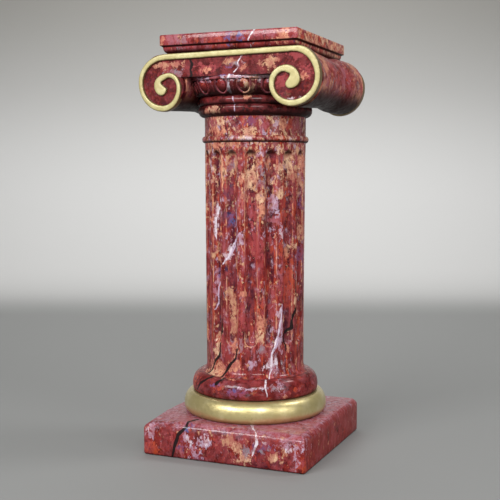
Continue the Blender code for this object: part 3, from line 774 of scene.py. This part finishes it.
def plinth_paint():
    coat = marbled("plinth marbling", 7.5, (1, 1, 1.5), shift=2.0)
    # Painted sheen: paler lilac and mauve towards the plinth's rounded top edge.
    coat.lay(LILAC, coat.height(44, 62, 0.0, 0.5), coat.patches(9, 0.4, 0.6, shift=3.7))
    brim = coat.height(52, 63, 0.0, 0.7)
    coat.lay(MAUVE, brim, coat.patches(20, 0.38, 0.58, rough=0.65, shift=6.1))
    # Painted shade: the dark red ground laid back over the dabs on the plinth's sides.
    side = coat.on_sides()
    coat.lay(OXIDE, side, coat.patches(10, 0.38, 0.52, 0.85, stretch=(1, 1, 2), shift=6.7))
    return painted(coat, PLINTH_DABS, PLINTH_VEINS, (12, 22.0), (1, 1, 1.5), -PLINTH_HALF)


def torus_paint():
    coat = marbled("torus marbling", 16, (1, 1, 0.6), TORUS_PAINT_RADIUS, 5.0, pale=-0.03)
    coat.lay(BURGUNDY, coat.patches(20, 0.36, 0.60, 0.75, 0.2, detail=4, rough=0.6, shift=28.0))
    return painted(coat, TORUS_DABS, TORUS_VEINS, (8, 10.0))


def shaft_paint():
    """Brushed lengthwise, pale on the edges of the flutes and dark down in them."""
    coat = marbled("shaft marbling", 7.5, (1, 1, 2.6), SHAFT_PAINT_RADIUS, 9.0)
    flute = coat.carved("arris")

    def streaks(size, low, high, cover, length, seed, detail=3, rough=0.6):
        return coat.patches(size, low, high, cover, 0.0, detail, rough, (1, 1, length), seed)

    coat.lay(BURGUNDY, streaks(6, 0.50, 0.60, 0.65, 14, 71.0))
    coat.lay(ORANGE, streaks(5, 0.56, 0.63, 0.75, 16, 83.0))
    hollow = coat.ramp(flute, 0.35, 0.95, 0.0, 0.9)
    coat.lay(PLUM, hollow, streaks(14, 0.42, 0.56, 1.0, 3, 90.0))
    rim = coat.math("MULTIPLY", coat.ramp(flute, 0.0, 0.06), coat.ramp(flute, 0.12, 0.30, 1.0, 0.0))
    worn = streaks(10, 0.44, 0.58, 0.8, 4, 96.0, 4, 0.65)
    coat.lay(PEACH, rim, worn)
    crowd = coat.noise(9, 4, 0.6, (1, 1, 1.5), 101.0)
    crowd = coat.math("ADD", crowd, coat.height(430, 500, 0.0, 0.07))
    coat.lay(TAN, coat.ramp(crowd, 0.63, 0.65, 0.0, 0.9))
    coat.lay(PLUM, streaks(30, 0.54, 0.66, 0.6, 2.5, 105.0, 4))
    haze = streaks(8, 0.53, 0.64, 0.75, 1.5, 107.0, 5, 0.7)
    coat.lay(CREAM, coat.height(390, 480), haze)
    bloom = streaks(10, 0.54, 0.66, 0.7, 1.5, 109.0, 5, 0.7)
    coat.lay(LILAC, coat.height(240, 400, 0.4, 1.0), bloom)
    return painted(coat, SHAFT_DABS, SHAFT_VEINS, (9, 13.0), (1, 1, 1.4))


def band_paint():
    coat = marbled("egg band marbling", 8, around=BAND_PAINT_RADIUS, shift=14.0, pale=-0.03)
    # Painted shade in the recesses between the eggs, shells and darts.
    coat.lay(SHADE, coat.carved("sunk"), 0.6)
    rim = coat.carved("rim")
    coat.lay(MAUVE, rim, coat.patches(8, 0.40, 0.56, 0.7, 0.1, detail=4, rough=0.6, shift=8.0))
    lip = coat.height(649, 655)
    coat.lay(MAUVE, lip, coat.patches(16, 0.40, 0.54, 0.6, detail=4, rough=0.6, shift=6.0))
    # Painted shade on the collar and bead under the egg band.
    coat.lay(SHADE, coat.height(612, 646, 0.9, 0.0))
    return painted(coat, BAND_DABS, BAND_VEINS, (8, 9.0))


def face_paint():
    coat = marbled("scroll face marbling", 9, shift=23.0)
    coat.lay(BURGUNDY, coat.patches(24, 0.36, 0.60, 1.0, 0.7, detail=4, rough=0.6, shift=27.0))
    coat.lay(PLUM, coat.patches(18, 0.52, 0.64, 0.6, detail=4, rough=0.65, shift=29.0))
    coat.lay(ROSE, coat.patches(14, 0.55, 0.66, 0.6, shift=30.0))
    return painted(coat, FACE_DABS, FACE_VEINS, (9, 14.0), face=-FACE_DEPTH)


def bolster_paint():
    """Smoky marbling, with a painted highlight that makes it paler towards the bolster's ends, and painted
    shade that makes it dark below.
    """
    coat = marbled("bolster marbling", 12, shift=31.0)
    smoke = coat.noise(34, 5, 0.65, shift=37.0)
    coat.lay(GREY, coat.ramp(smoke, 0.55, 0.64, 0.0, 0.45))
    coat.lay(MAUVE, coat.ramp(smoke, 0.48, 0.38, 0.0, 0.7))
    coat.lay(PEACH, coat.patches(18, 0.56, 0.66, 0.7, shift=39.0))
    speckled(coat)
    # Painted highlight: peach on the swelling ends of the bolster.
    along = coat.add("ShaderNodeSeparateXYZ", coat.solid_place).outputs["Y"]
    bulge_highlight = coat.ramp(coat.math("ABSOLUTE", along), 45 * MM, 95 * MM)
    coat.lay(PEACH, bulge_highlight, coat.patches(20, 0.44, 0.58, 0.6, shift=42.0))
    # Painted shade along the bolster's lower side.
    coat.lay(SHADE, coat.height(604, 636, 0.95, 0.0))
    return varnish(coat)


def abacus_paint():
    coat = marbled("abacus marbling", 8, (1, 1, 2), shift=44.0, pale=-0.01)
    # Paler mauve along the top edge: partly worn paint and partly a painted highlight.
    top = coat.height(724, 730, 0.1, 0.8)
    coat.lay(MAUVE, top, coat.patches(18, 0.42, 0.58, rough=0.65, shift=46.0))
    side = coat.on_sides()
    for colour, size, seed in ((ORANGE, 26, 48.0), (PEACH, 20, 54.0), (CREAM, 15, 57.0)):
        coat.lay(colour, side, coat.patches(size, 0.49, 0.59, 0.8, shift=seed))
    return painted(coat, ABACUS_DABS, ABACUS_VEINS, (9, 12.0), face=-ABACUS_HALF)


# Base


def make_plinth(paint):
    foot, top, half = PLINTH_FOOT, PLINTH_TOP, PLINTH_HALF
    profile = arc((half - foot, foot), (foot, foot), -90, 0, 2)
    profile += arc((half - PLINTH_ROUND, top - PLINTH_ROUND), (PLINTH_ROUND, PLINTH_ROUND), 0, 90, 8)
    plinth = raised("plinth", profile, 4, paint)
    apply_modifier(plinth, "BEVEL", width=PLINTH_ARRIS * MM, segments=3, limit_method="ANGLE",
                   angle_limit=math.radians(50))
    tidy_mesh(plinth)
    edit(plinth)
    bpy.ops.mesh.subdivide(number_cuts=3)
    leave_edit()
    for vertex in plinth.data.vertices:
        away = math.hypot(vertex.co.x / MM + half, vertex.co.y / MM + half)
        share = math.exp(-(away / CORNER_WEAR_REACH) ** 2) * max(vertex.co.z / (top * MM), 0.0) ** 3
        vertex.co.z -= CORNER_WEAR * MM * share
    shade(plinth)
    return plinth


def make_ring(paint):
    shoulder = RING_RADIUS - RING_SHOULDER
    profile = [(shoulder, PLINTH_TOP - RING_SEAT)]
    profile += swelling(shoulder, RING_SHOULDER, PLINTH_TOP, RING_TOP, RING_LOW, RING_TUCK, 16)
    profile.append((TORUS_TOP_RADIUS, RING_TOP))
    ring = raised("gilded_ring", profile, RING_SIDES, paint)
    uneven(ring, 0.35, 22)
    shade(ring)
    return ring


def make_torus(paint):
    profile = [(TORUS_TOP_RADIUS, RING_TOP - RING_SEAT)]
    profile += swelling(TORUS_TOP_RADIUS, TORUS_SWELL, RING_TOP, TORUS_TOP, TORUS_LOW,
                        TORUS_TUCK, 14)
    torus = raised("marbled_torus", profile, RING_SIDES, paint)
    uneven(torus, 0.3, 26)
    shade(torus)
    return torus


# Shaft


def shaft_profile():
    flare_top = SHAFT_FOOT + FLARE_TALL
    profile = arc((FOOT_RADIUS + FLARE_REACH, flare_top), (-FLARE_REACH, -FLARE_TALL), 90, 0, 7)
    rise = (TOP_RADIUS - FOOT_RADIUS) / (ASTRAGAL_LEVEL - flare_top)
    rows = round((ASTRAGAL_LEVEL - ASTRAGAL_HALF - flare_top) / ROW_STEP)
    for i in range(1, rows):
        level = flare_top + (ASTRAGAL_LEVEL - ASTRAGAL_HALF - flare_top) * i / rows
        profile.append((FOOT_RADIUS + rise * (level - flare_top), level))
    profile += arc((TOP_RADIUS, ASTRAGAL_LEVEL), (ASTRAGAL_REACH, ASTRAGAL_HALF), -90, 90, 10)
    neck = [NECK_FOOT + NECK_STEP * i for i in range(4)]
    profile += [(TOP_RADIUS, level) for level in neck + [SHAFT_TOP]]
    return profile


def flute_depth(across, level):
    """How deep the flute lies at a distance across from its middle line."""
    low, high = FLUTE_LOW + FLUTE_HALF, FLUTE_HIGH - FLUTE_HALF
    beyond = max(low - level, 0.0, level - high)
    away = math.hypot(across, beyond)
    bend = (FLUTE_HALF ** 2 + FLUTE_DEPTH ** 2) / (2 * FLUTE_DEPTH)
    if away >= bend:
        return 0.0
    sunk = math.sqrt(bend ** 2 - away ** 2) - (bend - FLUTE_DEPTH)
    return FLUTE_SOFTNESS * math.log1p(math.exp(min(sunk / FLUTE_SOFTNESS, 40.0)))


def make_shaft(paint):
    shaft = raised("fluted_shaft", shaft_profile(), FLUTES * COLUMNS_PER_FLUTE, paint)
    wear = shaft.data.attributes.new("arris", "FLOAT", "POINT")
    pitch = math.tau / FLUTES
    for vertex in shaft.data.vertices:
        radius = math.hypot(vertex.co.x, vertex.co.y)
        if radius < 0.01:
            continue
        angle = math.atan2(vertex.co.x, -vertex.co.y) - math.radians(FLUTE_TURN)
        off = (angle + pitch / 2) % pitch - pitch / 2
        level = vertex.co.z / MM
        depth = flute_depth(off * radius / MM, level)
        share = 1 - depth * MM / radius
        vertex.co.x *= share
        vertex.co.y *= share
        wear.data[vertex.index].value = min(depth / FLUTE_DEPTH, 1.0)
    uneven(shaft, 0.25, 30)
    shade(shaft, 60)
    return shaft


# Capital


def make_echinus(paint):
    bead_half = (EGG_FOOT - BEAD_FOOT - FILLET) / 2
    bead_middle = BEAD_FOOT + FILLET + bead_half
    band_tall = CHANNEL_FOOT - EGG_FOOT - FILLET
    profile = [(COLLAR_RADIUS, CAPITAL_FOOT)]
    collar = (COLLAR_RADIUS, CAPITAL_FOOT + COLLAR_TALL)
    profile += arc(collar, (COLLAR_REACH, COLLAR_TALL), -90, 0, 8)[1:]
    profile += COLLAR_ROLL
    profile += arc((BAND_ROOT, bead_middle), (BEAD_REACH, bead_half), -90, 90, 10)
    profile += arc((BAND_ROOT, CHANNEL_FOOT), (BAND_REACH, band_tall), -90, -11, 12)
    profile += [(121.0, 651.4), (LIP_RADIUS - 0.5, 651.9), (LIP_RADIUS, 653.0),
                (LIP_RADIUS, LIP_TOP - 1.0), (LIP_RADIUS - 1.0, LIP_TOP), (112.0, LIP_TOP + 1.0)]
    echinus = raised("collar_and_egg_band", profile, BAND_SIDES, paint)
    note(echinus, "sunk", 1.0, EGG_FOOT * MM)
    note(echinus, "rim", 0.0)
    return echinus


def band_radius(drop):
    """Radius of the egg band at a drop below the channel."""
    share = min(drop / (CHANNEL_FOOT - EGG_FOOT - FILLET), 1.0)
    return BAND_ROOT + BAND_REACH * math.sqrt(1 - share * share)


def make_egg(paint):
    deselect()
    bpy.ops.mesh.primitive_uv_sphere_add(segments=20, ring_count=14, radius=1.0)
    egg = named("egg", paint)
    edit(egg)
    bpy.ops.transform.resize(value=(EGG_HALF_WIDE * MM, EGG_PROUD * MM, EGG_HALF_TALL * MM))
    leave_edit()
    for vertex in egg.data.vertices:
        vertex.co.x *= 1.0 + EGG_TAPER * vertex.co.z / (EGG_HALF_TALL * MM)
    note(egg, "sunk", 0.0)
    note(egg, "rim", 0.0)
    return egg


def make_shell(paint):
    """The raised rim that holds an egg: half a ring below, legs running up."""
    deselect()
    bpy.ops.mesh.primitive_torus_add(major_segments=36, minor_segments=10,
                                     major_radius=SHELL_OUT * MM, minor_radius=SHELL_HALF * MM,
                                     rotation=(math.pi / 2, 0, 0))
    shell = named("shell", paint)
    place_in_mesh(shell)
    edit(shell)
    bpy.ops.mesh.bisect(plane_co=(0, 0, 0), plane_no=(0, 0, 1), clear_outer=True)
    bpy.ops.mesh.select_all(action="DESELECT")
    bpy.ops.mesh.select_non_manifold(extend=False)
    bpy.ops.mesh.extrude_edges_move(TRANSFORM_OT_translate={"value": (0, 0, SHELL_LEGS * MM)})
    bpy.ops.mesh.edge_face_add()
    leave_edit()
    for vertex in shell.data.vertices:
        if vertex.co.z < 0:
            vertex.co.z *= SHELL_DROP
    tidy_mesh(shell)
    note(shell, "sunk", 0.0)
    note(shell, "rim", 1.0)
    return shell


def make_dart(paint):
    deselect()
    bpy.ops.mesh.primitive_cone_add(vertices=6, radius1=DART_TOP * MM, radius2=DART_TIP * MM,
                                    depth=DART_TALL * MM, rotation=(math.pi, 0, 0))
    dart = named("dart", paint)
    place_in_mesh(dart)
    apply_modifier(dart, "BEVEL", width=0.7 * MM, segments=2)
    note(dart, "sunk", 0.0)
    note(dart, "rim", 0.6)
    return dart


def make_egg_band(echinus, paint):
    egg, shell, dart = make_egg(paint), make_shell(paint), make_dart(paint)
    upper = band_radius(EGG_MIDDLE - EGG_HALF_TALL)
    lower = band_radius(EGG_MIDDLE + EGG_HALF_TALL)
    lean = Matrix.Rotation(math.atan((upper - lower) / (2 * EGG_HALF_TALL)), 4, "X")
    out = Matrix.Translation((0, -band_radius(EGG_MIDDLE) * MM, (CHANNEL_FOOT - EGG_MIDDLE) * MM))
    carved = []
    for facing in (0.0, 180.0):
        for i in range(9):
            turn = facing + EGG_TURN + EGG_SPACING * (i - 4) / 2
            place = Matrix.Rotation(math.radians(turn), 4, "Z") @ out @ lean
            if i % 2:
                carved.append(copy_of(dart, "dart", place))
            else:
                carved.append(copy_of(egg, "egg", place))
                carved.append(copy_of(shell, "shell", place))
    for pattern in (egg, shell, dart):
        bpy.data.objects.remove(pattern)
    band = joined([echinus] + carved, "collar_and_egg_band")
    shade(band, 50)
    return band


def make_bolster(name, side, paint):
    profile = [(BOLSTER_WAIST + BOLSTER_SWELL * full, along) for along, full in BOLSTER_STATIONS]
    bolster = raised(name, profile, BOLSTER_SIDES, paint)
    edit(bolster)
    bpy.ops.transform.resize(value=(BOLSTER_WIDE, 1.0, 1.0), center_override=(0, 0, 0))
    leave_edit()
    turn = Matrix.Rotation(-math.pi / 2, 4, "X")
    centre = Matrix.Translation((side * BOLSTER_OUT * MM, 0.0, SCROLL_LEVEL * MM))
    bolster.data.transform(centre @ turn)
    tidy_mesh(bolster)
    shade(bolster, 50)
    return bolster


def arc_chain(turns):
    """Quarter arcs through turning points, the first leaving sideways."""
    points = [turns[0]]
    sideways = True
    for (ax, az), (bx, bz) in zip(turns, turns[1:]):
        centre = (ax, bz) if sideways else (bx, az)
        size = (bx - ax, az - bz) if sideways else (ax - bx, bz - az)
        span = (90, 0) if sideways else (0, 90)
        points += arc(centre, size, span[0], span[1], ARC_STEPS)[1:]
        sideways = not sideways
    return points


def at_scroll(points):
    return [(SCROLL_OUT + across, SCROLL_LEVEL + up) for across, up in points]


def mirrored(points):
    return [(-across, up) for across, up in reversed(points)]


def band_outline():
    right = at_scroll(arc_chain(RIGHT_OUTER) + [RIGHT_NOTCH] + arc_chain(RIGHT_INNER))
    left = at_scroll(arc_chain(LEFT_OUTER) + [LEFT_NOTCH] + arc_chain(LEFT_INNER))
    return right + mirrored(left)


def cut_out(name, outline, facing, face, paint):
    """A plate sawn to an outline in millimetres, its face at -Y, or at +Y for facing 1."""
    deselect()
    drawing = bpy.data.curves.new(name, "CURVE")
    drawing.dimensions = "2D"
    drawing.fill_mode = "BOTH"
    drawing.extrude = PLATE_THICK / 2 * MM
    spline = drawing.splines.new("POLY")
    spline.points.add(len(outline) - 1)
    for point, (across, up) in zip(spline.points, outline):
        point.co = (across * MM, up * MM, 0.0, 1.0)
    spline.use_cyclic_u = True
    plate = bpy.data.objects.new(name, drawing)
    bpy.context.scene.collection.objects.link(plate)
    plate.select_set(True)
    bpy.context.view_layer.objects.active = plate
    bpy.ops.object.convert(target="MESH")
    plate = bpy.context.object
    plate.data.materials.append(paint)
    stand = Matrix.Rotation(math.pi / 2, 4, "X")
    back = Matrix.Translation((0.0, (PLATE_THICK / 2 - face) * MM, 0.0))
    plate.data.transform(back @ stand)
    if facing > 0:
        plate.data.transform(Matrix.Rotation(math.pi, 4, "Z"))
    tidy_mesh(plate)
    shade(plate, 50)
    return plate


def rubbed_down(piece):
    """Rounds every edge of a piece, as sanding and thick gilding do."""
    apply_modifier(piece, "REMESH", mode="VOXEL", voxel_size=GILDING_GRAIN * MM)
    apply_modifier(piece, "SMOOTH", factor=0.5, iterations=GILDING_PASSES)
    shade(piece, 180)


def plate_outline():
    turns = []
    for across, up in RIGHT_OUTER[:4]:
        if abs(up) > abs(across):
            turns.append((across, up - math.copysign(FACE_INSET, up)))
        else:
            turns.append((across - math.copysign(FACE_INSET, across), up))
    turns.append(RIGHT_OUTER[4])
    edge = at_scroll(arc_chain(turns))
    lowest = 2 * ARC_STEPS
    kept = edge[:lowest] + [point for point in edge[lowest:] if point[1] < CHANNEL_FOOT]
    kept.append((kept[-1][0] + FACE_INSET, CHANNEL_FOOT))
    return kept + mirrored(kept)


def make_channel(paint):
    """The block between the scrolls, set back a little behind their faces."""
    deselect()
    bpy.ops.mesh.primitive_cube_add(size=1.0)
    block = named("channel_block", paint)
    edit(block)
    low, high = CHANNEL_FOOT + BLOCK_CLEAR, CHANNEL_TOP - BAND_MIDDLE / 3
    wide, deep = 2 * (SCROLL_OUT - BLOCK_INSET), 2 * (FACE_DEPTH - BLOCK_SET_BACK)
    bpy.ops.transform.resize(value=(wide * MM, deep * MM, (high - low) * MM))
    bpy.ops.transform.translate(value=(0, 0, (low + high) / 2 * MM))
    leave_edit()
    apply_modifier(block, "BEVEL", width=1.2 * MM, segments=2)
    shade(block, 50)
    return block


def make_abacus(paint):
    half, under = ABACUS_HALF, ABACUS_HALF - ABACUS_SET_IN
    brim = ABACUS_FOOT - 1.0
    profile = [(under, CHANNEL_TOP - ABACUS_SUNK)]
    profile += arc((under, brim), (ABACUS_MOULDING, brim - CHANNEL_TOP), -90, 0, 6)
    profile += arc((half - 1.8, ABACUS_FOOT + 1.6), (1.8, 1.6), -90, 0, 3)
    profile += [(half, ABACUS_FOOT + 9.0)]
    profile += arc((half - ABACUS_ROUND, ABACUS_TOP - ABACUS_ROUND), (ABACUS_ROUND, ABACUS_ROUND),
                   0, 90, 5)
    abacus = raised("abacus", profile, 4, paint)
    apply_modifier(abacus, "BEVEL", width=1.6 * MM, segments=3, limit_method="ANGLE",
                   angle_limit=math.radians(60))
    shade(abacus)
    return abacus


# Studio


def sweep_paint():
    """Grey paper with painted light and shade: lightest where it leaves the floor, and darker towards the
    top.
    """
    coat = Coat("sweep paper", srgb(147, 148, 147))
    view = (-math.sin(math.radians(CAMERA_TURN)), math.cos(math.radians(CAMERA_TURN)), 0.0)
    depth = coat.vector("DOT_PRODUCT", coat.solid_place, view)
    # Painted light: paler paper where the sweep leaves the floor.
    coat.lay(srgb(214, 214, 213), coat.ramp(depth, 1.5, 2.4))
    up = coat.add("ShaderNodeSeparateXYZ", coat.solid_place).outputs["Z"]
    # Painted shade: darker paper towards the top of the sweep.
    coat.lay(srgb(138, 136, 131), coat.ramp(up, 0.35, 1.5))
    return coat.finish(0.7, 0.0, 0.0, 0.0)


def make_sweep():
    """A paper sweep, floor and background in one, square to the camera."""
    deselect()
    bpy.ops.mesh.primitive_plane_add(size=1.0, location=(0.0, 0.0, SWEEP_LEVEL))
    sweep = named("studio_sweep", sweep_paint())
    sweep.dimensions = (2 * SWEEP_HALF_WIDTH, SWEEP_BEND - SWEEP_START, 0.0)
    sweep.location.y = (SWEEP_BEND + SWEEP_START) / 2
    place_in_mesh(sweep)
    edit(sweep, "DESELECT")
    bpy.ops.mesh.select_mode(type="EDGE")
    leave_edit()
    for edge in sweep.data.edges:
        edge.select = all(sweep.data.vertices[i].co.y > SWEEP_BEND - 0.01 for i in edge.vertices)
    bpy.ops.object.mode_set(mode="EDIT")
    bend = arc((SWEEP_BEND, SWEEP_RADIUS), (SWEEP_RADIUS, SWEEP_RADIUS), -90, 0, 16)
    bend.append((SWEEP_BEND + SWEEP_RADIUS, SWEEP_TOP))
    for (far, up), (farther, higher) in zip(bend, bend[1:]):
        step = (0.0, farther - far, higher - up)
        bpy.ops.mesh.extrude_edges_move(TRANSFORM_OT_translate={"value": step})
    leave_edit()
    sweep.data.transform(Matrix.Rotation(math.radians(CAMERA_TURN), 4, "Z"))
    shade(sweep, 60)


def area_light(name, place, aim, size, power):
    light = bpy.data.lights.new(name, "AREA")
    light.shape = "RECTANGLE"
    light.size, light.size_y = size
    light.energy = power
    lamp = bpy.data.objects.new(name, light)
    lamp.location = place
    lamp.rotation_euler = (Vector(aim) - Vector(place)).to_track_quat("-Z", "Y").to_euler()
    bpy.context.scene.collection.objects.link(lamp)


def make_studio():
    scene = bpy.context.scene
    lens = bpy.data.cameras.new("camera")
    lens.lens = CAMERA_LENS
    lens.sensor_width = SENSOR_WIDTH
    camera = bpy.data.objects.new("camera", lens)
    camera.location = CAMERA_PLACE
    camera.rotation_euler = (math.radians(90 - CAMERA_TILT), 0.0, math.radians(CAMERA_TURN))
    scene.collection.objects.link(camera)
    scene.camera = camera
    world = bpy.data.worlds.new("studio")
    world.use_nodes = True
    room = world.node_tree.nodes["Background"].inputs
    room["Color"].default_value = srgb(205, 204, 201)
    room["Strength"].default_value = ROOM_LIGHT
    scene.world = world
    scene.view_settings.view_transform = "Standard"
    for name, place, aim, size, power in LIGHTS:
        area_light(name, place, aim, size, power)
    make_sweep()


def finish_piece(piece, node):
    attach(piece, "root")
    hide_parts(node)


def main():
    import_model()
    make_studio()
    bolster_coat, face_coat, band_coat = bolster_paint(), face_paint(), band_paint()
    ring_gold = gilding("ring gilding", RING_GOLD, 0.3, 0.75)
    scroll_gold = gilding("scroll gilding", SCROLL_GOLD, 0.42, 0.3, flat=True)
    finish_piece(make_plinth(plinth_paint()), "base")
    finish_piece(make_ring(ring_gold), "base")
    finish_piece(make_torus(torus_paint()), "base")
    finish_piece(make_shaft(shaft_paint()), "shaft")
    band = make_egg_band(make_echinus(band_coat), band_coat)
    finish_piece(band, "capital")
    for name, side in (("left_bolster", -1), ("right_bolster", 1)):
        finish_piece(make_bolster(name, side, bolster_coat), "capital")
    finish_piece(make_channel(face_coat), "capital")
    finish_piece(make_abacus(abacus_paint()), "capital")
    for label, facing in (("front", -1), ("back", 1)):
        plate = cut_out(f"{label}_scroll_face", plate_outline(), facing, FACE_DEPTH, face_coat)
        finish_piece(plate, "capital")
        band = cut_out(f"{label}_scroll_band", band_outline(), facing, FACE_DEPTH + BAND_PROUD,
                       scroll_gold)
        rubbed_down(band)
        finish_piece(band, "capital")


main()
